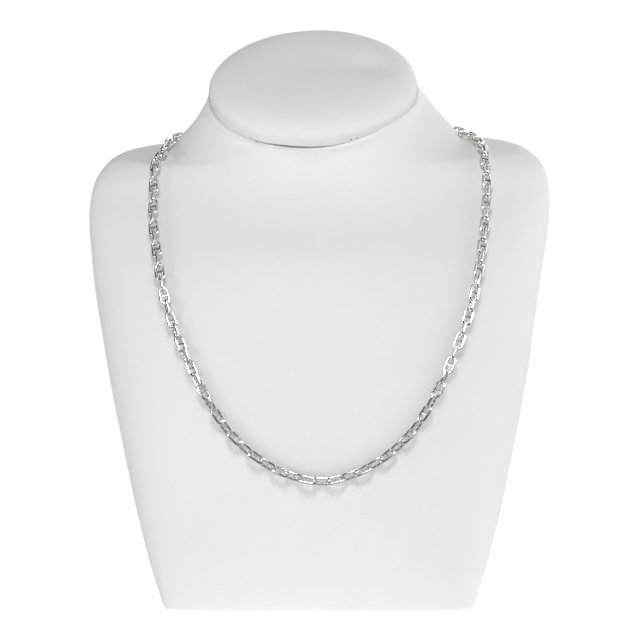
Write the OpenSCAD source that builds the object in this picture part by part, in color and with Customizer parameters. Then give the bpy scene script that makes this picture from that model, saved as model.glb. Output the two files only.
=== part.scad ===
// Mariner link chain necklace on a neck bust display.
// Millimetres. +Z is up, the chest faces -Y, and the origin is the middle of the base.

/* [Links] */
// Outside length of a link
link_l = 8.8; // [8.2:0.1:9.6]
// Outside width of a link
link_w = 4.6; // [4.4:0.1:5.2]
// Thickness of the wire that a link is bent from
wire_d = 1.2; // [1:0.05:1.3]
// Thickness of the bar across the middle of a link
bar_d = 0.9; // [0.7:0.05:1.1]
// Play between the end bends of two linked links
link_play = 0.3; // [0.2:0.05:0.4]
// Turn of the links about the chain where it hangs lowest
low_turn = 45; // [0:5:60]
// Gap between the chain and the bust
rest_gap = 0.5; // [0.4:0.05:0.9]

/* [Clasp] */
// Length of the clasp between the middles of its eyes
clasp_l = 15; // [12:0.5:20]
// Thickness of the clasp's barrel
barrel_d = 3.8; // [3:0.1:4.4]
// Opening of an eye of the clasp
eye_hole = 2.2; // [2:0.1:2.4]

/* [Chest] */
// Width across the shoulders
shoulder_w = 208; // [190:1:226]
// Height of the shoulder line above the base
shoulder_h = 205; // [185:1:225]
// Depth from the chest to the back
bust_d = 122; // [112:1:134]

/* [Neck] */
// Diameter of the neck at its slanted top
neck_d = 94.6; // [89:0.2:101]
// Height of the middle of the neck's top above the shoulder line
neck_h = 23.5; // [20:0.5:26]
// Slant of the neck's top towards the front
neck_tilt = 36; // [32:1:38]
// Lean of the neck's top, with the right side up
neck_lean = 2.7; // [0:0.1:4]
// Distance of the neck's middle to the left of the base's middle
neck_left = 2.4; // [0:0.1:5]
// Distance of the neck's middle behind the base's middle
neck_rear = 28; // [25:0.5:31]

/* [Cap] */
// Height of the cap in its middle
cap_h = 14; // [12:0.5:18]
// Radius of the cap's rounded rim
rim_r = 6; // [5:0.5:7]
// Height of the middle of the rim's round above the seam
rim_h = 4.5; // [3:0.5:5]
// Distance that the rim stands out over the neck
rim_over = 0.4; // [0:0.1:1.5]

/* [Hidden] */

// Sections of the chest from the base up to the shoulder line.
// Height by shoulder_h; half width and sideways shift by shoulder_w;
// front, widest line and back by bust_d, counted from the chest backwards;
// squareness of the front half and of the back half, where 2 is an ellipse;
// slant by neck_tilt and lean by neck_lean.
CHEST = [
    // height  half   shift  front  widest back   sq_f sq_b  slant lean
    [0.000, 0.322,  0.001, 0.033, 0.320, 0.861, 5.5, 4.5, 0.00, 0.00],
    [0.122, 0.364,  0.000, 0.008, 0.418, 0.885, 3.6, 4.0, 0.00, 0.00],
    [0.244, 0.396,  0.000, 0.000, 0.484, 0.910, 3.0, 4.0, 0.00, 0.00],
    [0.371, 0.424,  0.000, 0.008, 0.533, 0.934, 2.8, 4.0, 0.00, 0.00],
    [0.502, 0.450, -0.001, 0.041, 0.582, 0.959, 2.7, 4.0, 0.00, 0.00],
    [0.634, 0.473, -0.003, 0.107, 0.631, 0.975, 2.6, 3.8, 0.03, 0.00],
    [0.741, 0.489, -0.002, 0.189, 0.664, 0.984, 2.5, 3.6, 0.08, 0.00],
    [0.834, 0.500,  0.001, 0.295, 0.680, 0.992, 2.4, 3.4, 0.15, 0.10],
    [0.902, 0.499,  0.004, 0.366, 0.697, 0.996, 2.2, 3.2, 0.24, 0.25],
    [0.946, 0.486,  0.006, 0.398, 0.705, 1.000, 2.1, 3.0, 0.31, 0.37],
    [0.976, 0.459,  0.005, 0.410, 0.713, 1.000, 2.0, 2.8, 0.40, 0.41],
    [0.989, 0.425,  0.003, 0.412, 0.713, 1.000, 2.0, 2.6, 0.45, 0.44],
    [0.992, 0.380,  0.001, 0.412, 0.713, 1.004, 2.0, 2.4, 0.46, 0.48]
];

// Sections of the neck above the shoulder line, the last one round.
// Height by neck_h; half width, half length to the front and half length to the
// back by neck_d; shift by neck_left and rear by neck_rear; slant and lean as above.
NECK = [
    // height half  to_f   to_b   shift rear  slant lean
    [0.00, 0.705, 0.390, 0.380, 0.30, 0.93, 0.50, 0.52],
    [0.22, 0.664, 0.401, 0.393, 0.22, 0.93, 0.61, 0.59],
    [0.51, 0.592, 0.432, 0.425, 0.30, 0.95, 0.78, 0.74],
    [1.00, 0.500, 0.500, 0.500, 1.00, 1.00, 1.00, 1.00]
];

// Where the chain crosses the sections: the section, counted from 0 at the base,
// and the angle round it, from 270 at the chest over 180 at the left shoulder and
// 90 at the back to -90 at the chest again. The turn of the links is a share of
// low_turn.
ROUTE = [
    // section angle turn
    [2.20,  271, 1.0],
    [2.30,  262, 1.0],
    [2.50,  255, 1.0],
    [2.80,  249, 1.0],
    [3.20,  244, 1.0],
    [4.00,  238, 1.0],
    [5.00,  233, 0.7],
    [6.00,  231, 0.1],
    [7.00,  229, 0.0],
    [8.00,  227, 0.0],
    [9.00,  224, 0.0],
    [10.0,  220, 0.0],
    [11.1,  214, 0.0],
    [12.15, 204, 0.0],
    [12.7,  190, 0.0],
    [13.0,  177, 0.0],
    [13.1,  163, 0.0],
    [12.9,  148, 0.0],
    [12.7,  130, 0.0],
    [12.5,  110, 0.0],
    [12.4,   90, 0.0],
    [12.5,   70, 0.0],
    [12.7,   50, 0.0],
    [12.9,   32, 0.0],
    [12.8,   17, 0.0],
    [12.65,   3, 0.0],
    [12.35, -11, 0.0],
    [11.9,  -24, 0.0],
    [11.0,  -34, 0.0],
    [10.0,  -41, 0.0],
    [9.00,  -45, 0.0],
    [8.00,  -47, 0.0],
    [7.00,  -49, 0.0],
    [6.00,  -50, 0.0],
    [5.00,  -52, 0.1],
    [4.00,  -57, 0.6],
    [3.20,  -63, 1.0],
    [2.80,  -68, 1.0],
    [2.50,  -74, 1.0],
    [2.30,  -81, 1.0]
];

// Points round a section, and the longest step up the bust between two rings
AROUND = 56;
RING_STEP = 6;
// Steps of the route between two of its rows
ROUTE_STEPS = 12;
// Step in sections and in degrees for the slope of the surface
SLOPE_STEP = 0.02;
SLOPE_TURN = 0.5;
// Degrees between two points of the cap's round rim, and points along its dome
RIM_TURN = 15;
DOME_STEPS = 8;

// Smooth curve through p1 and p2, with p0 before and p3 after them
function smooth(p0, p1, p2, p3, u) = (2 * p1 + (p2 - p0) * u
    + (2 * p0 - 5 * p1 + 4 * p2 - p3) * pow(u, 2)
    + (3 * p1 - p0 - 3 * p2 + p3) * pow(u, 3)) / 2;

// The rows of both tables in millimetres and degrees:
// height, half width, middle, widest line, reach to the front, reach to the back,
// squareness in front, squareness behind, slant, lean
function chest_row(r) = [
    r[0] * shoulder_h, r[1] * shoulder_w, r[2] * shoulder_w, (r[4] - 0.5) * bust_d,
    (r[4] - r[3]) * bust_d, (r[5] - r[4]) * bust_d, r[6], r[7],
    r[8] * neck_tilt, r[9] * neck_lean];
function neck_row(r) = [
    shoulder_h + r[0] * neck_h, r[1] * neck_d, -r[4] * neck_left, r[5] * neck_rear,
    r[2] * neck_d, r[3] * neck_d, 2, 2, r[6] * neck_tilt, r[7] * neck_lean];
ROWS = [for (r = CHEST) chest_row(r), for (r = NECK) neck_row(r)];
LAST = len(ROWS) - 1;

// The section at a place t between 0 at the base and LAST at the neck's top
function section_at(t) = let (
    i = min(floor(t), LAST - 1),
    before = i > 0 ? ROWS[i - 1] : 2 * ROWS[0] - ROWS[1],
    after = i < LAST - 1 ? ROWS[i + 2] : 2 * ROWS[LAST] - ROWS[LAST - 1])
    smooth(before, ROWS[i], ROWS[i + 1], after, t - i);

// A point of the bust's surface, at an angle round the section at t
function skin(t, angle) = let (
    row = section_at(t),
    c = cos(angle),
    s = sin(angle),
    square = s < 0 ? row[6] : row[7],
    reach = s < 0 ? row[4] : row[5],
    far = pow(pow(abs(c), square) + pow(abs(s), square), -1 / square),
    x = row[1] * far * c,
    u = reach * far * s)
    [row[2] + x * cos(row[9]) - u * sin(row[8]) * sin(row[9]),
     row[3] + u * cos(row[8]),
     row[0] + x * sin(row[9]) + u * sin(row[8]) * cos(row[9])];

function unit(v) = v / norm(v);
function skin_normal(t, angle) = unit(cross(
    skin(t, angle + SLOPE_TURN) - skin(t, angle - SLOPE_TURN),
    skin(t + SLOPE_STEP, angle) - skin(t - SLOPE_STEP, angle)));

// How far the middle of the chain lies off the bust when its links are turned
function stand_off(turn) = rest_gap + wire_d / 2
    + (link_w - wire_d) / 2 * max(abs(sin(turn)), abs(cos(turn)));

// The chain's closed line in small steps, as place and surface direction
COUNT = len(ROUTE);
function route_row(i) = ROUTE[i % COUNT] - [0, 360 * floor(i / COUNT), 0];
function route_at(i, u) = smooth(i > 0 ? route_row(i - 1) : ROUTE[COUNT - 1] + [0, 360, 0],
    route_row(i), route_row(i + 1), route_row(i + 2), u);
LINE = [for (i = [0:COUNT - 1]) for (j = [0:ROUTE_STEPS - 1]) route_at(i, j / ROUTE_STEPS),
    route_row(COUNT)];
NORMALS = [for (r = LINE) skin_normal(r[0], r[1])];
PATH = [for (i = [0:len(LINE) - 1])
    skin(LINE[i][0], LINE[i][1]) + stand_off(LINE[i][2] * low_turn) * NORMALS[i]];

// Length of the line up to each of its points
LENGTHS = [for (i = 0, s = 0; i < len(PATH);
    s = s + (i + 1 < len(PATH) ? norm(PATH[i + 1] - PATH[i]) : 0), i = i + 1) s];
LOOP = LENGTHS[len(LENGTHS) - 1];

// Anything listed along the line, at a length along it
function along(list, s) = let (at = s < 0 ? s + LOOP : s) [for (k = [0:2])
    lookup(at, [for (i = [0:len(list) - 1]) [LENGTHS[i], list[i][k]]])];

// Middle line of a link's wire
bend_r = (link_w - wire_d) / 2;
reach = (link_l - wire_d) / 2;
// Distance between the middles of two linked wires
wire_step = wire_d + link_play;
pitch_wanted = 2 * reach - wire_step;
// Clasp: radius of an eye's wire line, and from the last link's middle to the eye's
eye_r = (eye_hole + wire_d) / 2;
eye_step = reach - wire_step + eye_r;
// Links on each side of the lowest one, and their true spacing
half_run = LOOP / 2 - eye_step - clasp_l / 2;
SIDE = round(half_run / pitch_wanted);
pitch = half_run / SIDE;

// A piece laid along the chain's line from one length to another, with its own
// X along the line, Y across it and Z off the bust, and turned about the line
module lay(from, to, turn) {
    a = along(PATH, from);
    b = along(PATH, to);
    x = unit(b - a);
    n = along(NORMALS, (from + to) / 2);
    y = unit(cross(n, x));
    z = cross(x, y);
    p = (a + b) / 2;
    multmatrix([[x[0], y[0], z[0], p[0]],
                [x[1], y[1], z[1], p[1]],
                [x[2], y[2], z[2], p[2]],
                [0, 0, 0, 1]])
        rotate([turn, 0, 0]) children();
}

// One link: two half round bends, two straight sides and the crossbar
module link() {
    side = reach - bend_r;
    for (end = [0, 180])
        rotate(end) translate([side, 0, 0])
            rotate([0, 0, -90]) rotate_extrude(angle = 180, $fn = 48)
                translate([bend_r, 0]) circle(d = wire_d, $fn = 24);
    for (y = [-bend_r, bend_r])
        translate([-side, y, 0]) rotate([0, 90, 0]) cylinder(d = wire_d, h = 2 * side, $fn = 24);
    translate([0, bend_r, 0]) rotate([90, 0, 0]) cylinder(d = bar_d, h = 2 * bend_r, $fn = 24);
}

module mariner_links() {
    turns = [for (r = LINE) [r[2] * low_turn, 0, 0]];
    color("silver")
    for (i = [-SIDE:SIDE])
        lay((i - 0.5) * pitch, (i + 0.5) * pitch,
            along(turns, i * pitch)[0] + (i % 2 == 0 ? 90 : 0)) link();
}

// A plain closed barrel with an eye at each end
module clasp() {
    barrel_l = clasp_l - 2 * eye_r;
    color("silver")
    lay(LOOP / 2 - clasp_l / 2, LOOP / 2 + clasp_l / 2, SIDE % 2 == 0 ? 0 : 90) {
        rotate([0, 90, 0]) cylinder(d = barrel_d, h = barrel_l - barrel_d / 2, center = true, $fn = 48);
        for (end = [-1, 1]) {
            translate([end * (barrel_l / 2 - barrel_d / 4), 0, 0]) sphere(d = barrel_d, $fn = 48);
            translate([end * clasp_l / 2, 0, 0]) rotate_extrude($fn = 48)
                translate([eye_r, 0]) circle(d = wire_d, $fn = 24);
        }
    }
}

// The chest and neck, lofted through rings
function ring_count(i) = max(2, ceil(norm([
    ROWS[i + 1][0] - ROWS[i][0], ROWS[i + 1][1] - ROWS[i][1]]) / RING_STEP));
module bust_form() {
    places = [for (i = [0:LAST - 1]) for (j = [0:ring_count(i) - 1]) i + j / ring_count(i), LAST];
    points = [for (t = places) for (k = [0:AROUND - 1]) skin(t, 360 * k / AROUND)];
    top = len(places) - 1;
    faces = [
        [for (k = [0:AROUND - 1]) k],
        for (i = [0:top - 1]) for (k = [0:AROUND - 1]) let (
            a = i * AROUND + k,
            b = i * AROUND + (k + 1) % AROUND)
            each [[a, a + AROUND, b], [b, a + AROUND, b + AROUND]],
        [for (k = [AROUND - 1:-1:0]) top * AROUND + k]
    ];
    color("white") polyhedron(points, faces);
}

// The padded disc on the neck's top: half its outline, from the seam over the round
// rim and along the dome, which meets the rim smoothly
module neck_cap() {
    rim_x = neck_d / 2 + rim_over - rim_r;
    dome_r = (pow(rim_x, 2) + pow(cap_h - rim_h, 2) - pow(rim_r, 2)) / (2 * (cap_h - rim_h - rim_r));
    meet = atan2(dome_r - cap_h + rim_h, rim_x);
    start = -asin(rim_h / rim_r);
    turns = ceil((meet - start) / RIM_TURN);
    rim = [for (i = [0:turns]) let (a = start + (meet - start) * i / turns)
        [rim_x + rim_r * cos(a), rim_h + rim_r * sin(a)]];
    dome = [for (i = [1:DOME_STEPS]) let (a = meet + (90 - meet) * i / DOME_STEPS)
        [dome_r * cos(a), cap_h - dome_r + dome_r * sin(a)]];
    color("whitesmoke")
    translate([-neck_left, neck_rear, shoulder_h + neck_h])
        rotate([neck_tilt, -neck_lean, 0])
            rotate_extrude($fn = 96) polygon(concat([[0, 0]], rim, dome));
}

mariner_links();
clasp();
bust_form();
neck_cap();
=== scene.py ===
import math

import bmesh
import bpy
import numpy as np
from mathutils import Matrix, Vector, noise


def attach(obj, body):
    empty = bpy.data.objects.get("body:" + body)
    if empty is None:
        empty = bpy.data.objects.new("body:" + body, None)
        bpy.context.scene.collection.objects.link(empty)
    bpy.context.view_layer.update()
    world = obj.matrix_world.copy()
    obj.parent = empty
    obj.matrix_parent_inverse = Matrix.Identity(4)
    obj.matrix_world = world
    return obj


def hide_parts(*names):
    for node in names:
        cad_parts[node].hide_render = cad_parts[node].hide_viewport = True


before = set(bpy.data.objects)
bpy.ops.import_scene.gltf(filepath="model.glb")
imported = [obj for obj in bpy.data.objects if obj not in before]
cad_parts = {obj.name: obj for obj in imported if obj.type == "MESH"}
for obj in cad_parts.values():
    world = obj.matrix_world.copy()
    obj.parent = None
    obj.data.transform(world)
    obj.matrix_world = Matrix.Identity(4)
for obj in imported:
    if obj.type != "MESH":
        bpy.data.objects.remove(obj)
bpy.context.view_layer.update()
print("frame loaded")

weldWithin = 2e-6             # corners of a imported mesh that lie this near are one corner
floorWithin = 1e-5            # and below this height they stand on the table


def newPiece(name, mesh, slot, *nodes):
    piece = bpy.data.objects.new(name, mesh)
    bpy.context.scene.collection.objects.link(piece)
    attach(piece, "root")
    if nodes:
        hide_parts(*nodes)
    return piece


def weldedMesh(nodeName):
    mesh = bmesh.new()
    mesh.from_mesh(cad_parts[nodeName].data)
    bmesh.ops.remove_doubles(mesh, verts=mesh.verts, dist=weldWithin)
    mesh.verts.ensure_lookup_table()
    return mesh


# A closed skin over rings of points, from the lowest ring to the highest one.
# Seen from outside, each ring runs to the right.
def ringSkin(name, rings):
    count, around = rings.shape[:2]
    points = [tuple(p) for p in rings.reshape(-1, 3)]
    faces = []
    for i in range(count - 1):
        low, high = i * around, (i + 1) * around
        for k in range(around):
            j = (k + 1) % around
            faces.append((low + k, low + j, high + j, high + k))
    for ring, underside in ((0, True), (count - 1, False)):
        centre = len(points)
        points.append(tuple(rings[ring].mean(axis=0)))
        for k in range(around):
            a, b = ring * around + k, ring * around + (k + 1) % around
            faces.append((centre, b, a) if underside else (centre, a, b))
    mesh = bpy.data.meshes.new(name)
    mesh.from_pydata(points, [], faces)
    mesh.shade_smooth()
    return mesh


# Each row at length 1, where a row of zeros stays one
def unitRows(v):
    return v / np.maximum(np.linalg.norm(v, axis=-1, keepdims=True), 1e-12)


# Direction that each point of the rings faces, outwards
def ringNormals(rings):
    along = np.roll(rings, -1, axis=1) - np.roll(rings, 1, axis=1)
    return unitRows(np.cross(along, np.gradient(rings, axis=0)))


# Catmull-Rom: new points between the rows of an array, which stay as they are
def finerRows(rows, steps, closed):
    if closed:
        p = np.concatenate([rows[-1:], rows, rows[:2]])
    else:
        p = np.concatenate([2 * rows[:1] - rows[1:2], rows, 2 * rows[-1:] - rows[-2:-1]])
    out = []
    for i in range(1, len(p) - 2):
        for u in np.arange(steps) / steps:
            out.append(0.5 * (2 * p[i] + (p[i + 1] - p[i - 1]) * u
                + (2 * p[i - 1] - 5 * p[i] + 4 * p[i + 1] - p[i + 2]) * u ** 2
                + (3 * p[i] - p[i - 1] - 3 * p[i + 1] + p[i + 2]) * u ** 3))
    if not closed:
        out.append(p[-2])
    return np.array(out)


# A soft hump, 1 at its middle and 0 from its radius on
def softSpot(distance, radius):
    return np.clip(1 - (distance / radius) ** 2, 0, 1) ** 2


# Smooth noise at each point, with lumps of this size
def noiseAt(points, size):
    flat = points.reshape(-1, 3) / size
    return np.array([noise.noise(Vector(p)) for p in flat]).reshape(points.shape[:-1])


# The bust's cover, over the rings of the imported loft

bustSizes = {
    "aroundSteps": 4,             # new points between two points of a packed ring
    "upSteps": 3,                 # new rings between two packed rings
    "stretchPasses": 240,         # the cover bridges the hollow bends on the front of the neck
    "stretchReach": 0.0010,       # how far one pass carries along a column of points
    "stretchHalfWidth": 0.072,    # half width of the bridged front
    "stretchSide": 0.016,         # it fades out over this distance inside that width
    "stretchFrom": 0.16,          # and starts at this height,
    "stretchEase": 0.02,          # with its full share this much higher and further forward
    "hemRadius": 0.0009,          # rounding where the cover turns under the base
    "hemTurns": (0, 30, 60, 90),  # its steps, in degrees
    "hemIn": 0.012,              # how far it then goes in under the base
    "lipRadius": 0.0014,          # rounding where it turns in under the cap
    "lipTurns": (0, 22, 44, 66, 88, 110, 130, 150),
    "lipIn": 0.0040,              # how far it then goes in under the cap
    "riseReach": 0.014,           # how far below the seam the cover is drawn up with it
    "wave": 0.00022,              # unevenness of the padding under the cover
    "waveSize": 0.038,
    "fineWaveSize": 0.016,
    "fineWaveShare": 0.4,
    "evenEdge": 0.02,             # towards the edges it fades out over this distance
    "swell": (0.00085, 0.0012, 0.0024),       # the turned edge stands proud: height, place, half width
    "hollow": (0.00035, 0.0060, 0.0048),      # and is pulled in below it: depth, place, half width
    "hollowAt": (-112, 70),       # most on the left of the front: place and spread in degrees
    "hollowLeast": 0.4,           # and this share of it elsewhere
    "pull": 0.00044,              # depth of the tension folds below the seam
    "pullReach": 0.012,           # how far down the neck they run
    "foldsAround": 7,             # how close they lie
    "foldsDown": 30,              # and how quickly they change down the neck
    "nick": (-122, 0.0008, 0.0015, 0.0050),   # the one sharp fold: place, depth, width, length
}


# Each point of the next ring up is the one that two neighbours of a ring share
def packedRings():
    mesh = weldedMesh("bust_form")
    lowest = [v for v in mesh.verts if v.co.z < floorWithin]
    ring = sorted(lowest, key=lambda v: math.atan2(v.co.y, v.co.x))
    rings = [ring]
    seen = {v.index for v in ring}
    while True:
        above = []
        for k, v in enumerate(ring):
            w = ring[(k + 1) % len(ring)]
            beside = {e.other_vert(w).index for e in w.link_edges}
            shared = [e.other_vert(v) for e in v.link_edges]
            above += [u for u in shared if u.index in beside and u.index not in seen][:1]
        if len({u.index for u in above}) < len(ring):
            break
        ring = above
        seen.update(u.index for u in ring)
        rings.append(ring)
    places = np.array([[tuple(v.co) for v in ring] for ring in rings])
    mesh.free()
    return places


# The neck's slanted top is flat, so its ring has no spread along the neck's axis
neckRings = packedRings()
capCentre = neckRings[-1].mean(axis=0)
capUp = np.linalg.svd(neckRings[-1] - capCentre)[2][2]
capUp = capUp * np.sign(capUp[2])
capRight = unitRows(np.array([1.0, 0, 0]) - capUp[0] * capUp)
capBack = np.cross(capUp, capRight)
neckRadius = float(np.linalg.norm(neckRings[-1] - capCentre, axis=1).mean())


# Direction round the neck's axis, from the right over the back
def turnAt(points):
    return np.arctan2((points - capCentre) @ capBack, (points - capCentre) @ capRight)


# Degrees from a place round the neck, to either side
def turnFrom(turn, degrees):
    return np.degrees(np.abs((turn - math.radians(degrees) + math.pi) % (2 * math.pi) - math.pi))


# A soft hump round the neck, with its place and its spread in degrees
def humpRound(turn, degrees, spread):
    return softSpot(turnFrom(turn, degrees), spread)


seamSizes = {
    "rise": 0.0023,               # the seam under the cap rises by this much
    "riseAt": (-44, 44),          # on the right of the front: place and spread in degrees
}


def seamRise(turn):
    return seamSizes["rise"] * humpRound(turn, *seamSizes["riseAt"])


# Each pass moves the points of a column a little towards the line between their neighbours,
# on the front of the neck and only outwards.
def stretched(rings, s):
    rings = rings.copy()
    forward = capCentre[1] - rings[..., 1:2]
    inside = s["stretchHalfWidth"] - np.abs(rings[..., :1] - capCentre[0])
    front = np.clip(forward / s["stretchEase"], 0, 1)
    front = front * np.clip((rings[..., 2:] - s["stretchFrom"]) / s["stretchEase"], 0, 1)
    front = front * np.clip(inside / s["stretchSide"], 0, 1)
    for _ in range(s["stretchPasses"]):
        low, here, high = rings[:-2], rings[1:-1], rings[2:]
        stepUp = np.linalg.norm(here - low, axis=2, keepdims=True)
        stepOn = np.linalg.norm(high - here, axis=2, keepdims=True)
        move = low + (high - low) * stepUp / (stepUp + stepOn) - here
        hollow = (move * ringNormals(rings)[1:-1]).sum(axis=2, keepdims=True) > 0
        share = 0.5 * np.minimum(1, (2 * s["stretchReach"] / (stepUp + stepOn)) ** 2) * front[1:-1]
        rings[1:-1] = here + move * share * hollow
    return rings


# How far the cover stands out, or in where it is below 0, at a distance below the seam
def coverRelief(s, rings, turn, below):
    free = np.clip(below / s["evenEdge"], 0, 1) * np.clip(rings[..., 2] / s["evenEdge"], 0, 1)
    waves = noiseAt(rings, s["waveSize"]) + s["fineWaveShare"] * noiseAt(rings, s["fineWaveSize"])
    relief = s["wave"] * free * waves
    height, middle, halfWidth = s["swell"]
    relief = relief + height * softSpot(below - middle, halfWidth)
    depth, middle, halfWidth = s["hollow"]
    share = s["hollowLeast"] + (1 - s["hollowLeast"]) * humpRound(turn, *s["hollowAt"])
    relief = relief - depth * softSpot(below - middle, halfWidth) * share
    # folds that the stapled edge pulls into the cover below the seam
    around, down = s["foldsAround"], s["foldsDown"]
    fan = np.stack([np.cos(turn) * around, np.sin(turn) * around, below * down], axis=-1)
    fade = np.clip(1 - below / s["pullReach"], 0, 1) ** 2
    relief = relief - s["pull"] * fade * np.abs(noiseAt(fan, 1.0))
    degrees, depth, width, length = s["nick"]
    beside = np.radians(turnFrom(turn, degrees)) * neckRadius
    return relief - depth * softSpot(beside, width) * softSpot(below, length)


def bustCover(s):
    rings = finerRows(stretched(neckRings, s), s["upSteps"], False)
    rings = finerRows(rings.transpose(1, 0, 2), s["aroundSteps"], True).transpose(1, 0, 2)
    out = ringNormals(rings)
    # the last rings make room for the round of the lip
    wall = unitRows(rings[-1] - rings[-1 - s["upSteps"]])
    for i in range(1, s["upSteps"]):
        rings[-1 - i] -= wall * s["lipRadius"] * (1 - i / s["upSteps"])
    below = np.linalg.norm(rings - rings[-1:], axis=2)
    turn = turnAt(rings)
    drawnUp = seamRise(turn[-1]) * np.clip(1 - below / s["riseReach"], 0, 1) ** 2
    rings = rings + drawnUp[..., None] * capUp
    rings = rings + out * coverRelief(s, rings, turn, below)[..., None]

    inward = unitRows(rings[0].mean(axis=0) - rings[0])
    r = s["hemRadius"]
    hem = [rings[0] + inward * s["hemIn"]]
    for a in np.radians(s["hemTurns"]):
        hem.append(rings[0] + inward * r * (1 - math.sin(a)) + np.array([0, 0, r * (1 - math.cos(a))]))
    inward = unitRows(capCentre - rings[-1])
    r = s["lipRadius"]
    lip = []
    for a in np.radians(s["lipTurns"]):
        lip.append(rings[-1] + r * (wall * (math.sin(a) - 1) + inward * (1 - math.cos(a))))
    lip.append(rings[-1] - capUp * r + inward * s["lipIn"])
    return np.array(hem + list(rings[1:-1]) + lip)


bust = newPiece("bustCover", ringSkin("bustCover", bustCover(bustSizes)), "leatherette", "bust_form")
print("bust cover made,", len(bust.data.polygons), "faces")


# The padded cap on the slanted top of the neck

capSizes = {
    "height": 0.0140,
    "waist": 0.0045,              # height above the seam where the cap is widest
    "over": 0.0002,               # how far it stands out there over the neck
    "fullness": 4.1,              # squareness of the pillow, where 2 is an ellipse
    "tuckRadius": 0.0012,         # rounding where the cap turns in at the seam
    "tuckBack": 0.0001,           # how far it stands back from the neck's edge
    "tuckTurns": (-125, -5),      # and its first and last angle, in degrees
    "around": 288,
    "tuckRows": 9,
    "wallRows": 5,
    "pillowRows": 44,
    "rowCrowding": 1.5,           # above 1 the rows of the pillow lie closer at its rim
    "gape": (-100, 52),           # the seam is open only here: place and spread in degrees
    "lift": 0.0006,               # where the cap's edge is lifted by this much
    "press": 0.0008,              # and elsewhere it is pressed flat by this much
    "pressReach": 0.008,          # above this height it is neither
    "sink": (0.0262, 0.002, 0.0145, 0.0015),  # the pad's soft spot: right, back, radius, depth
    "pucker": 0.00022,            # depth of the gathers that rise from the seam
    "puckerReach": 0.0085,        # height where they have died out
    "puckerRim": 8,               # the higher this is, the nearer they keep to the rim
    "puckersAround": 6,           # how close they lie
    "puckersUp": 60,              # and how quickly they change upwards
    "puckerMix": ((1.0, 1.6), (0.42, 0.8)),   # wide and fine ones: size and share
    "wave": 0.00030,              # unevenness of the padding
    "waveSize": 0.021,
    "waveFrom": 0.006,            # height where it is at its full depth
}


# Half of the cap's section, as radius and height, from the tuck over the rim to the middle
def capProfile(s):
    waistR = neckRadius + s["over"]
    tuckR = s["tuckRadius"]
    tuckX = neckRadius - s["tuckBack"] - tuckR
    profile = []
    for a in np.radians(np.linspace(*s["tuckTurns"], s["tuckRows"])):
        profile.append((tuckX + tuckR * math.cos(a), tuckR * (1 + math.sin(a))))
    for u in np.linspace(0, 1, s["wallRows"] + 2)[1:-1]:
        ease = math.sin(u * math.pi / 2)
        profile.append((tuckX + tuckR + (waistR - tuckX - tuckR) * ease, tuckR + (s["waist"] - tuckR) * u))
    for u in np.linspace(0, 1, s["pillowRows"], endpoint=False):
        a = math.pi / 2 * u ** s["rowCrowding"]
        profile.append((waistR * math.cos(a) ** (2 / s["fullness"]),
            s["waist"] + (s["height"] - s["waist"]) * math.sin(a)))
    return profile, waistR


def capCover(s):
    profile, waistR = capProfile(s)
    turns = np.arange(s["around"]) * 2 * math.pi / s["around"]
    spoke = np.cos(turns)[:, None] * capRight + np.sin(turns)[:, None] * capBack
    rings = np.array([capCentre + r * spoke + z * capUp for r, z in profile])
    turn = np.broadcast_to(turns, rings.shape[:2])
    height = np.broadcast_to(np.array([z for r, z in profile])[:, None], turn.shape)
    across = np.array([r for r, z in profile])[:, None]
    around, upward = s["puckersAround"], s["puckersUp"]
    fan = np.stack([np.cos(turn) * around, np.sin(turn) * around, height * upward], axis=-1)
    fade = np.clip(1 - height / s["puckerReach"], 0, 1) * np.clip(across / waistR, 0, 1) ** s["puckerRim"]
    gathers = sum(np.abs(noiseAt(fan, size)) * share for size, share in s["puckerMix"])
    dent = -s["pucker"] * fade * gathers
    dent = dent + s["wave"] * np.clip(height / s["waveFrom"], 0, 1) * noiseAt(rings, s["waveSize"])
    right, back, radius, depth = s["sink"]
    spot = rings - (capCentre + right * capRight + back * capBack)
    flat = spot - (spot @ capUp)[..., None] * capUp
    dent = dent - depth * softSpot(np.linalg.norm(flat, axis=2), radius)
    gape = humpRound(turn, *s["gape"])
    pressed = s["press"] * (1 - gape) - s["lift"] * gape - seamRise(turn)
    pressed = pressed * np.clip(1 - height / s["pressReach"], 0, 1)
    return rings + ringNormals(rings) * dent[..., None] - pressed[..., None] * capUp


cap = newPiece("capCushion", ringSkin("capCushion", capCover(capSizes)), "cap_leatherette", "neck_cap")
print("cap made,", len(cap.data.polygons), "faces")


# Small builders for node trees

def fill(tree, socket, value):
    if isinstance(value, bpy.types.NodeSocket):
        tree.links.new(value, socket)
    else:
        socket.default_value = value


def place(tree, kind, inputs=None, **settings):
    node = tree.nodes.new(kind)
    for key, value in settings.items():
        setattr(node, key, value)
    for key, value in (inputs or {}).items():
        fill(tree, node.inputs[key], value)
    return node


def sums(tree, operation, a, b=0.0, clamp=False):
    node = place(tree, "ShaderNodeMath", {0: a, 1: b}, operation=operation, use_clamp=clamp)
    return node.outputs[0]


# The chain: one finely bent link, set on the middle of each packed link

linkSizes = {
    "Length": 0.0088,             # outside, along the chain
    "Width": 0.0046,
    "Wire": 0.0012,
    "Bar": 0.0009,                # the crossbar, in its middle
    "Flare": 0.35,                # how much the bar widens where it meets the wire
    "Flare Power": 5.0,           # the higher this is, the nearer to the wire it starts
    "Bend Share": 0.4995,         # radius of a bend over the span, a hair under a half circle's
    "Bend Points": 8,             # in each quarter of a bend
    "Bar Points": 9,
    "Wire Sides": 12,
    "Crevice Reach": 0.0010,       # how far the tarnish and painted shade of the crevice goes from the bar's ends
    "Rub Reach": 0.0012,          # and the polish from where two links rub
}


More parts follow.
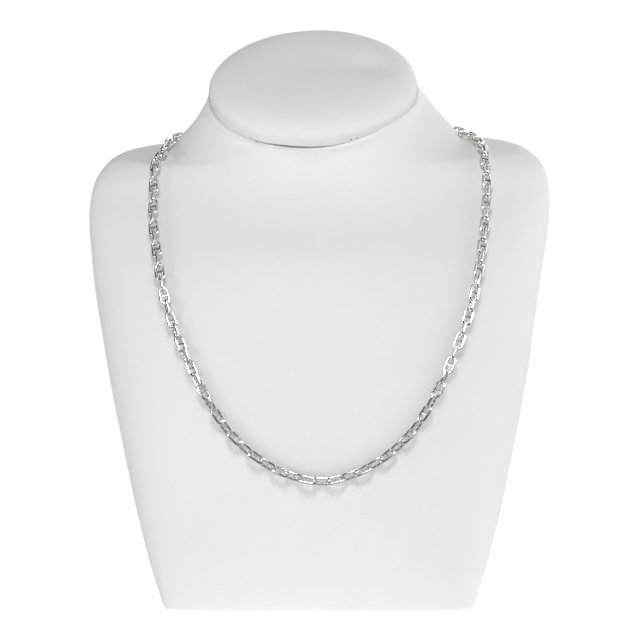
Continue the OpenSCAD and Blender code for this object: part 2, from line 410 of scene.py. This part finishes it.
# Middle and turn of each packed link, from how its faces are spread
def linkPlaces():
    mesh = weldedMesh("mariner_links")
    seen = set()
    places = []
    for first in mesh.faces:
        if first in seen:
            continue
        seen.add(first)
        faces = [first]           # the list grows to all faces of a link while it is gone through
        for face in faces:
            for edge in face.edges:
                for beside in edge.link_faces:
                    if beside not in seen:
                        seen.add(beside)
                        faces.append(beside)
        middles = np.array([tuple(f.calc_center_median()) for f in faces])
        areas = np.array([f.calc_area() for f in faces])
        middle = (middles * areas[:, None]).sum(axis=0) / areas.sum()
        spread = ((middles - middle) * areas[:, None]).T @ (middles - middle)
        axes = np.linalg.eigh(spread)[1]
        x, y = axes[:, 2], axes[:, 1]
        turn = Matrix(np.array([x, y, np.cross(x, y)]).T.tolist()).to_euler()
        places.append((middle, turn))
    mesh.free()
    return places


def linkTree(material):
    tree = bpy.data.node_groups.new("marinerLinks", "GeometryNodeTree")
    face = tree.interface
    face.new_socket("Geometry", in_out="INPUT", socket_type="NodeSocketGeometry")
    face.new_socket("Geometry", in_out="OUTPUT", socket_type="NodeSocketGeometry")
    for key, value in linkSizes.items():
        kind = "NodeSocketInt" if isinstance(value, int) else "NodeSocketFloat"
        face.new_socket(key, in_out="INPUT", socket_type=kind)
    given = tree.nodes.new("NodeGroupInput").outputs
    reach = sums(tree, "SUBTRACT", given["Length"], given["Wire"])
    span = sums(tree, "SUBTRACT", given["Width"], given["Wire"])
    halfWire = sums(tree, "MULTIPLY", given["Wire"], 0.5)
    halfSpan = sums(tree, "MULTIPLY", span, 0.5)

    # the wire, bent into a ring with straight sides
    outline = place(tree, "GeometryNodeCurvePrimitiveQuadrilateral", {"Width": reach, "Height": span})
    outline = place(tree, "GeometryNodeFilletCurve", {
        "Curve": outline.outputs[0], "Count": given["Bend Points"],
        "Radius": sums(tree, "MULTIPLY", span, given["Bend Share"]), "Limit Radius": True}, mode="POLY")
    wireRound = place(tree, "GeometryNodeCurvePrimitiveCircle", {
        "Resolution": given["Wire Sides"], "Radius": halfWire})
    ring = place(tree, "GeometryNodeCurveToMesh", {
        "Curve": outline.outputs[0], "Profile Curve": wireRound.outputs[0]})

    # the crossbar, wider where it meets the wire
    start = place(tree, "ShaderNodeCombineXYZ", {"Y": sums(tree, "MULTIPLY", halfSpan, -1.0)})
    end = place(tree, "ShaderNodeCombineXYZ", {"Y": halfSpan})
    bar = place(tree, "GeometryNodeCurvePrimitiveLine", {"Start": start.outputs[0], "End": end.outputs[0]})
    bar = place(tree, "GeometryNodeResampleCurve", {"Curve": bar.outputs[0], "Count": given["Bar Points"]})
    where = place(tree, "ShaderNodeSeparateXYZ", {0: place(tree, "GeometryNodeInputPosition").outputs[0]})
    share = sums(tree, "DIVIDE", sums(tree, "ABSOLUTE", where.outputs["Y"]), halfSpan)
    flare = sums(tree, "MULTIPLY", sums(tree, "POWER", share, given["Flare Power"]), given["Flare"])
    bar = place(tree, "GeometryNodeSetCurveRadius", {
        "Curve": bar.outputs[0], "Radius": sums(tree, "ADD", flare, 1.0)})
    barRound = place(tree, "GeometryNodeCurvePrimitiveCircle", {
        "Resolution": given["Wire Sides"], "Radius": sums(tree, "MULTIPLY", given["Bar"], 0.5)})
    bar = place(tree, "GeometryNodeCurveToMesh", {
        "Curve": bar.outputs[0], "Profile Curve": barRound.outputs[0], "Fill Caps": True})
    both = tree.nodes.new("GeometryNodeJoinGeometry")
    tree.links.new(ring.outputs[0], both.inputs[0])
    tree.links.new(bar.outputs[0], both.inputs[0])

    # how close a point is to a spot on the link and to its twin across the middle
    def near(x, y, radius):
        away = sums(tree, "SUBTRACT", sums(tree, "ABSOLUTE", where.outputs["X"]), x)
        beside = sums(tree, "SUBTRACT", sums(tree, "ABSOLUTE", where.outputs["Y"]), y)
        square = sums(tree, "ADD", sums(tree, "POWER", away, 2.0), sums(tree, "POWER", beside, 2.0))
        square = sums(tree, "ADD", square, sums(tree, "POWER", where.outputs["Z"], 2.0))
        distance = sums(tree, "DIVIDE", sums(tree, "SQRT", square), radius)
        return sums(tree, "SUBTRACT", 1.0, distance, clamp=True)

    rubAt = sums(tree, "SUBTRACT", sums(tree, "MULTIPLY", reach, 0.5), halfWire)
    # the crevices where the bar meets the wire, which the silver darkens with tarnish and painted shade
    marks = place(tree, "GeometryNodeStoreNamedAttribute", {
        "Geometry": both.outputs[0], "Name": "barCrevice", "Value": near(0.0, halfSpan, given["Crevice Reach"])},
        data_type="FLOAT", domain="POINT")
    marks = place(tree, "GeometryNodeStoreNamedAttribute", {
        "Geometry": marks.outputs[0], "Name": "rubbed", "Value": near(rubAt, 0.0, given["Rub Reach"])},
        data_type="FLOAT", domain="POINT")

    turn = place(tree, "GeometryNodeInputNamedAttribute", {"Name": "linkTurn"}, data_type="FLOAT_VECTOR")
    turn = place(tree, "FunctionNodeEulerToRotation", {0: turn.outputs[0]})
    chain = place(tree, "GeometryNodeInstanceOnPoints", {
        "Points": given["Geometry"], "Instance": marks.outputs[0], "Rotation": turn.outputs[0]})
    chain = place(tree, "GeometryNodeRealizeInstances", {"Geometry": chain.outputs[0]})
    chain = place(tree, "GeometryNodeSetShadeSmooth", {"Geometry": chain.outputs[0]})
    chain = place(tree, "GeometryNodeSetMaterial", {"Geometry": chain.outputs[0], "Material": material})
    out = tree.nodes.new("NodeGroupOutput")
    tree.links.new(chain.outputs[0], out.inputs[0])
    return tree


def chainMesh(material):
    places = linkPlaces()
    points = bpy.data.meshes.new("linkPoints")
    points.from_pydata([tuple(middle) for middle, turn in places], [], [])
    turns = points.attributes.new("linkTurn", "FLOAT_VECTOR", "POINT")
    turns.data.foreach_set("vector", [angle for middle, turn in places for angle in turn])
    holder = bpy.data.objects.new("linkPoints", points)
    bpy.context.scene.collection.objects.link(holder)
    tree = linkTree(material)
    modifier = holder.modifiers.new("links", "NODES")
    modifier.node_group = tree
    for socket in tree.interface.items_tree:
        if socket.in_out == "INPUT" and socket.name in linkSizes:
            modifier[socket.identifier] = linkSizes[socket.name]
    shown = holder.evaluated_get(bpy.context.evaluated_depsgraph_get())
    mesh = bpy.data.meshes.new_from_object(shown)
    mesh.name = "marinerChain"
    holder.modifiers.clear()
    bpy.data.objects.remove(holder)
    print("chain made,", len(places), "links,", len(mesh.polygons), "faces")
    return mesh


# Effects that several materials share

def newGroup(name, sizes, outputs):
    tree = bpy.data.node_groups.new(name, "ShaderNodeTree")
    tree.interface.new_socket("Vector", in_out="INPUT", socket_type="NodeSocketVector")
    for key, value in sizes.items():
        socket = tree.interface.new_socket(key, in_out="INPUT", socket_type="NodeSocketFloat")
        socket.default_value = value
    for key in outputs:
        tree.interface.new_socket(key, in_out="OUTPUT", socket_type="NodeSocketFloat")
    return tree, tree.nodes.new("NodeGroupInput").outputs, tree.nodes.new("NodeGroupOutput").inputs


# Noise with so many lumps to the metre
def noiseIn(tree, vector, perMetre, detail=2.0, roughness=0.5):
    return place(tree, "ShaderNodeTexNoise", {
        "Vector": vector, "Scale": perMetre, "Detail": detail, "Roughness": roughness}).outputs


# Pressed grain of leatherette: small cells with soft creases between them
def grainGroup():
    tree, given, out = newGroup("pressedGrain", {
        "Cell": 0.0009,           # width of a cell
        "Crease": 0.16,           # and of a crease, in cells
        "Wobble": 1.1,            # how far the cells are bent out of line, in cells
        "Wobble Scale": 0.5,      # bends to a cell
        "Rounding": 0.6,          # below 1 a cell is rounder on top
        "Pore Scale": 3.0,        # pores to a cell
        "Pore Depth": 0.35,
    }, ["Height", "Crease Mask"])
    perMetre = sums(tree, "DIVIDE", 1.0, given["Cell"])
    bend = noiseIn(tree, given["Vector"], sums(tree, "MULTIPLY", perMetre, given["Wobble Scale"]))
    # the noise's colour is 0.5 in its middle
    bent = place(tree, "ShaderNodeVectorMath", {0: bend["Color"], 1: (0.5, 0.5, 0.5)}, operation="SUBTRACT")
    wobble = sums(tree, "MULTIPLY", given["Cell"], given["Wobble"])
    bent = place(tree, "ShaderNodeVectorMath", {0: bent.outputs[0], "Scale": wobble}, operation="SCALE")
    bent = place(tree, "ShaderNodeVectorMath", {0: given["Vector"], 1: bent.outputs[0]}, operation="ADD")
    cells = place(tree, "ShaderNodeTexVoronoi", {"Vector": bent.outputs[0], "Scale": perMetre},
        feature="DISTANCE_TO_EDGE")
    full = sums(tree, "DIVIDE", cells.outputs["Distance"], given["Crease"], clamp=True)
    pores = noiseIn(tree, given["Vector"], sums(tree, "MULTIPLY", perMetre, given["Pore Scale"]))
    pores = sums(tree, "MULTIPLY", pores["Fac"], given["Pore Depth"])
    height = sums(tree, "ADD", sums(tree, "POWER", full, given["Rounding"]), pores)
    tree.links.new(height, out["Height"])
    tree.links.new(sums(tree, "SUBTRACT", 1.0, full), out["Crease Mask"])
    return tree


# Blotches left by handling and age, from 0 to 1
def wearGroup():
    tree, given, out = newGroup("handledWear", {
        "Size": 0.03,             # width of a blotch
        "Cover": 0.5,             # the higher this is, the more of the surface they take
        "Wide Share": 0.7,
        "Fine Share": 0.3,
        "Fine Scale": 7.0,        # fine blotches to a wide one
        "Edge Scale": 0.8,
        "Sharpness": 3.0,         # of their edges
    }, ["Mask", "Tone"])
    perMetre = sums(tree, "DIVIDE", 1.0, given["Size"])
    wide = noiseIn(tree, given["Vector"], perMetre, detail=3.0)
    fine = noiseIn(tree, given["Vector"], sums(tree, "MULTIPLY", perMetre, given["Fine Scale"]), detail=4.0)
    wide = sums(tree, "MULTIPLY", wide["Fac"], given["Wide Share"])
    both = sums(tree, "ADD", wide, sums(tree, "MULTIPLY", fine["Fac"], given["Fine Share"]))
    edge = sums(tree, "MULTIPLY", sums(tree, "SUBTRACT", 1.0, given["Cover"]), given["Edge Scale"])
    mask = sums(tree, "MULTIPLY", sums(tree, "SUBTRACT", both, edge), given["Sharpness"], clamp=True)
    tree.links.new(mask, out["Mask"])
    tree.links.new(both, out["Tone"])
    return tree


# Fine polishing lines, longest from top to bottom, and patches of haze
def polishGroup():
    tree, given, out = newGroup("polishLines", {
        "Spacing": 0.00012,       # between two lines
        "Haze Scale": 0.12,       # patches to a line
    }, ["Height", "Haze"])
    squeeze = (1.0, 0.35, 0.12)   # how close the noise of the lines lies in x, y and z
    perMetre = sums(tree, "DIVIDE", 1.0, given["Spacing"])
    drawn = place(tree, "ShaderNodeVectorMath", {0: given["Vector"], 1: squeeze}, operation="MULTIPLY")
    lines = noiseIn(tree, drawn.outputs[0], perMetre, detail=3.0, roughness=0.7)
    haze = noiseIn(tree, given["Vector"], sums(tree, "MULTIPLY", perMetre, given["Haze Scale"]))
    tree.links.new(lines["Fac"], out["Height"])
    tree.links.new(haze["Fac"], out["Haze"])
    return tree


grain, wear, polish = grainGroup(), wearGroup(), polishGroup()


def newMaterial(name):
    material = bpy.data.materials.new(name)
    material.use_nodes = True
    tree = material.node_tree
    shader = next(n for n in tree.nodes if n.type == "BSDF_PRINCIPLED")
    coords = tree.nodes.new("ShaderNodeTexCoord").outputs["Object"]
    return material, tree, shader, coords


def useGroup(tree, group, **inputs):
    node = tree.nodes.new("ShaderNodeGroup")
    node.node_tree = group
    for key, value in inputs.items():
        fill(tree, node.inputs[key], value)
    return node.outputs


def mixed(tree, factor, a, b):
    return place(tree, "ShaderNodeMix", {"Factor": factor, 6: a, 7: b}, data_type="RGBA").outputs[2]


# How deep in a small round hole a point lies, where 0 is outside; it places the painted shade of the hole
def holeMask(tree, coords, middles, radius):
    mask = 0.0
    for middle in middles:
        away = place(tree, "ShaderNodeVectorMath", {0: coords, 1: middle}, operation="DISTANCE")
        share = sums(tree, "DIVIDE", away.outputs["Value"], radius)
        inside = sums(tree, "SUBTRACT", 1.0, share, clamp=True)
        mask = sums(tree, "ADD", mask, inside)
    return mask


def leatherette(name, s):
    material, tree, shader, coords = newMaterial(name)
    surface = useGroup(tree, grain, Vector=coords, Cell=s["cell"], Crease=s["crease"])
    age = useGroup(tree, wear, Vector=coords, Size=s["blotch"], Cover=s["soiled"])
    colour = mixed(tree, sums(tree, "MULTIPLY", age["Mask"], s["soilDepth"]), s["colour"], s["soilAndShade"])
    # painted shade in the creases of the grain, mixed towards the colour of the soil blotches
    paintedCreaseShade = sums(tree, "MULTIPLY", surface["Crease Mask"], s["creaseShade"])
    colour = mixed(tree, paintedCreaseShade, colour, s["soilAndShade"])
    if s["holes"]:
        # painted shade in the two needle holes
        holes = holeMask(tree, coords, s["holes"], s["holeRadius"])
        holes = sums(tree, "MULTIPLY", holes, s["holeDepth"], clamp=True)
        colour = mixed(tree, holes, colour, s["holeShadeColour"])
    tree.links.new(colour, shader.inputs["Base Color"])
    rough = sums(tree, "ADD", s["rough"], sums(tree, "MULTIPLY", age["Tone"], s["ageRough"]))
    rough = sums(tree, "ADD", rough, sums(tree, "MULTIPLY", surface["Crease Mask"], s["creaseRough"]))
    tree.links.new(rough, shader.inputs["Roughness"])
    relief = place(tree, "ShaderNodeBump", {
        "Strength": s["relief"], "Distance": s["reliefDepth"], "Height": surface["Height"]})
    tree.links.new(relief.outputs[0], shader.inputs["Normal"])
    shader.inputs["Specular IOR Level"].default_value = s["shine"]
    shader.inputs["Sheen Weight"].default_value = s["sheen"]
    shader.inputs["Sheen Roughness"].default_value = s["sheenRough"]
    return material


# two needle holes low in the cap's edge, right of the middle, shown only as painted shade in the cap's
# colour
needleHoles = {
    "places": [(-68.9, 0.0020), (-65.7, 0.0022)],     # degrees round the neck, height above the seam
    "radius": 0.0006,
    "depth": 1.6,                 # above 1 the painted dark middle of a hole is wider
    # the colour of the painted shade inside a hole
    "colour": (0.16, 0.15, 0.14, 1),
}
holeMiddles = []
for degrees, height in needleHoles["places"]:
    spoke = math.cos(math.radians(degrees)) * capRight + math.sin(math.radians(degrees)) * capBack
    holeMiddles.append(tuple(capCentre + neckRadius * spoke + height * capUp))

leatherLook = {
    "holes": [],
    "crease": 0.16,
    "creaseShade": 0.10,           # painted shade in the creases of the grain: how much darker a crease is
    "reliefDepth": 0.00006,
    "ageRough": 0.10,             # roughness that age and creases add
    "creaseRough": 0.08,
    "shine": 0.35,
    "sheen": 0.12,
    "sheenRough": 0.5,
}
coverMaterial = leatherette("whiteLeatherette", {
    **leatherLook, "colour": (0.800, 0.800, 0.798, 1), "soilAndShade": (0.64, 0.63, 0.61, 1),
    "cell": 0.0009, "blotch": 0.05, "soiled": 0.42, "soilDepth": 0.10, "rough": 0.46, "relief": 0.55})
capMaterial = leatherette("capLeatherette", {
    **leatherLook, "colour": (0.780, 0.777, 0.769, 1), "soilAndShade": (0.60, 0.59, 0.57, 1),
    "cell": 0.0008, "blotch": 0.03, "soiled": 0.48, "soilDepth": 0.14, "rough": 0.50, "relief": 0.6,
    "holes": holeMiddles, "holeRadius": needleHoles["radius"], "holeDepth": needleHoles["depth"],
    "holeShadeColour": needleHoles["colour"]})

silverLook = {
    "bright": (0.93, 0.925, 0.91, 1),
    "tarnish": (0.30, 0.28, 0.25, 1),
    "blotch": 0.004,              # width of the stains that age leaves
    "soiled": 0.55,
    "ageStain": 0.10,             # and how dark they are
    # tarnish and painted shade in the crevice where the bar meets the wire
    "creviceTarnishAndShade": 0.55,
    "creviceEdge": 1.5,            # the higher this is, the nearer the crevice its tarnish and painted shade keep
    "rubbedClean": 0.9,           # share of the stains, tarnish and painted shade that rubbing takes away
    "rough": 0.07,
    "hazeRough": 0.10,            # roughness that haze, stains, the crevices and rubbing add
    "stainRough": 0.30,
    "rubbedRough": 0.08,
    "lineSpacing": 0.00010,
    "lineStrength": 0.12,
    "lineDepth": 0.00001,
}


def silver(s):
    material, tree, shader, coords = newMaterial("polishedSilver")
    barCrevice = place(tree, "ShaderNodeAttribute", attribute_name="barCrevice").outputs["Fac"]
    rubbed = place(tree, "ShaderNodeAttribute", attribute_name="rubbed").outputs["Fac"]
    lines = useGroup(tree, polish, Vector=coords, Spacing=s["lineSpacing"])
    age = useGroup(tree, wear, Vector=coords, Size=s["blotch"], Cover=s["soiled"])
    # tarnish and painted shade in the crevices where the bar meets the wire, with the stains of age
    tarnishAndShade = sums(tree, "MULTIPLY", sums(tree, "POWER", barCrevice, s["creviceEdge"]), s["creviceTarnishAndShade"])
    tarnishAndShade = sums(tree, "ADD", tarnishAndShade, sums(tree, "MULTIPLY", age["Mask"], s["ageStain"]), clamp=True)
    kept = sums(tree, "SUBTRACT", 1.0, sums(tree, "MULTIPLY", rubbed, s["rubbedClean"]))
    tarnishAndShade = sums(tree, "MULTIPLY", tarnishAndShade, kept, clamp=True)
    tree.links.new(mixed(tree, tarnishAndShade, s["bright"], s["tarnish"]), shader.inputs["Base Color"])
    rough = sums(tree, "ADD", s["rough"], sums(tree, "MULTIPLY", lines["Haze"], s["hazeRough"]))
    rough = sums(tree, "ADD", rough, sums(tree, "MULTIPLY", tarnishAndShade, s["stainRough"]))
    rough = sums(tree, "ADD", rough, sums(tree, "MULTIPLY", rubbed, s["rubbedRough"]))
    tree.links.new(rough, shader.inputs["Roughness"])
    shader.inputs["Metallic"].default_value = 1.0
    relief = place(tree, "ShaderNodeBump", {
        "Strength": s["lineStrength"], "Distance": s["lineDepth"], "Height": lines["Height"]})
    tree.links.new(relief.outputs[0], shader.inputs["Normal"])
    return material


silverMaterial = silver(silverLook)
bust.data.materials.append(coverMaterial)
cap.data.materials.append(capMaterial)
chain = newPiece("marinerChain", chainMesh(silverMaterial), "silver", "mariner_links")
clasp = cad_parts["clasp"]
clasp.data.materials.clear()
clasp.data.materials.append(silverMaterial)
print("materials made")


# Table, lights, room and camera

tableLook = {
    "half": 6.0,                  # half of its width
    "rough": 0.7,
    "glow": 0.66,                 # it is lit from below like a light table
    "glowSeen": 0.16,             # and the camera sees this much more
    "glowMirrored": 0.50,         # and the silver mirrors this much less
    "colour": (0.90, 0.90, 0.90, 1),
    "colourMirrored": (0.30, 0.30, 0.30, 1),
}


def whiteTable(s):
    mesh = bpy.data.meshes.new("whiteTable")
    half = s["half"]
    corners = [(-half, -half, 0), (half, -half, 0), (half, half, 0), (-half, half, 0)]
    mesh.from_pydata(corners, [], [(0, 1, 2, 3)])
    table = bpy.data.objects.new("whiteTable", mesh)
    bpy.context.scene.collection.objects.link(table)
    material, tree, shader, coords = newMaterial("tableTop")
    shader.inputs["Roughness"].default_value = s["rough"]
    shader.inputs["Emission Color"].default_value = (1, 1, 1, 1)
    path = tree.nodes.new("ShaderNodeLightPath").outputs
    seen, mirrored = path["Is Camera Ray"], path["Is Glossy Ray"]
    glow = sums(tree, "ADD", s["glow"], sums(tree, "MULTIPLY", seen, s["glowSeen"]))
    glow = sums(tree, "SUBTRACT", glow, sums(tree, "MULTIPLY", mirrored, s["glowMirrored"]))
    tree.links.new(glow, shader.inputs["Emission Strength"])
    tree.links.new(mixed(tree, mirrored, s["colour"], s["colourMirrored"]), shader.inputs["Base Color"])
    mesh.materials.append(material)


lightsAim = (0, 0, 0.14)          # the middle of the bust
lights = {
    # stand, size, power, colour
    "leftSide": ((-1.25, -0.60, 0.05), (0.4, 0.4), 5.4, (0.93, 0.96, 1.0)),
    "frontHigh": ((0, -0.90, 1.10), (0.6, 0.4), 8.9, (1.0, 1.0, 1.0)),
    "frontTop": ((0, -0.50, 1.35), (0.4, 0.4), 0.7, (1.0, 1.0, 1.0)),
    "overhead": ((0, -0.10, 1.40), (0.4, 0.4), 0.9, (1.0, 1.0, 1.0)),
}


def softBox(name, stand, size, power, colour):
    light = bpy.data.lights.new(name, "AREA")
    light.shape = "RECTANGLE"
    light.size, light.size_y = size
    light.energy = power
    light.color = colour
    lamp = bpy.data.objects.new(name, light)
    bpy.context.scene.collection.objects.link(lamp)
    lamp.location = stand
    lamp.rotation_euler = (Vector(lightsAim) - Vector(stand)).to_track_quat("-Z", "Y").to_euler()
    lamp.visible_camera = False


# A big pale wall stands on the right. Each edge of it is an axis of the direction looked in,
# where the wall starts on it and where it is full.
roomLook = {
    "wall": 1.72,                 # its brightness
    "dim": 0.03,                  # and that of the rest of the room
    "colour": (1.0, 0.985, 0.95, 1),
    "wallEdge": ("X", -0.3, 0.3),
    "wallTop": ("Z", 0.75, 0.45),
    "wallFront": ("Y", -0.50, -0.15),         # it is dark where the camera stands
}


def room(s):
    world = bpy.data.worlds.new("studio")
    bpy.context.scene.world = world
    world.use_nodes = True
    tree = world.node_tree
    out = next(n for n in tree.nodes if n.type == "OUTPUT_WORLD")
    walls = next(n for n in tree.nodes if n.type == "BACKGROUND")
    direction = tree.nodes.new("ShaderNodeTexCoord").outputs["Generated"]
    ways = place(tree, "ShaderNodeSeparateXYZ", {0: direction})

    def fading(axis, start, end):
        return place(tree, "ShaderNodeMapRange", {
            "Value": ways.outputs[axis], "From Min": start, "From Max": end}).outputs[0]

    wall = sums(tree, "MULTIPLY", fading(*s["wallEdge"]), fading(*s["wallTop"]))
    wall = sums(tree, "MULTIPLY", wall, fading(*s["wallFront"]))
    wall = sums(tree, "MULTIPLY", wall, s["wall"])
    tree.links.new(sums(tree, "ADD", wall, s["dim"]), walls.inputs["Strength"])
    walls.inputs["Color"].default_value = s["colour"]
    # the camera sees white paper in place of the room
    paper = place(tree, "ShaderNodeBackground", {"Color": (1, 1, 1, 1), "Strength": 1.0})
    seen = tree.nodes.new("ShaderNodeLightPath").outputs["Is Camera Ray"]
    shown = place(tree, "ShaderNodeMixShader", {0: seen, 1: walls.outputs[0], 2: paper.outputs[0]})
    tree.links.new(shown.outputs[0], out.inputs["Surface"])


# The photo's view: low, level with the chest, from 1.2 m with a long lens
photoView = {
    "eye": (0.00064, -1.257, 0.095),
    "aim": (0.00064, -0.057, 0.1238),
    "sensor": 36,                 # width in millimetres
    "lens": 158.7,                # millimetres too
    "nearest": 0.01,
    "farthest": 30,
}


def frontCamera(s):
    lens = bpy.data.cameras.new("photoView")
    lens.sensor_width = s["sensor"]
    lens.lens = s["lens"]
    lens.clip_start = s["nearest"]
    lens.clip_end = s["farthest"]
    camera = bpy.data.objects.new("photoView", lens)
    bpy.context.scene.collection.objects.link(camera)
    camera.location = s["eye"]
    camera.rotation_euler = (Vector(s["aim"]) - Vector(s["eye"])).to_track_quat("-Z", "Y").to_euler()
    bpy.context.scene.camera = camera


whiteTable(tableLook)
for name, settings in lights.items():
    softBox(name, *settings)
room(roomLook)
frontCamera(photoView)
bpy.context.scene.view_settings.view_transform = "Standard"
bpy.context.scene.view_settings.look = "None"
print("studio made")
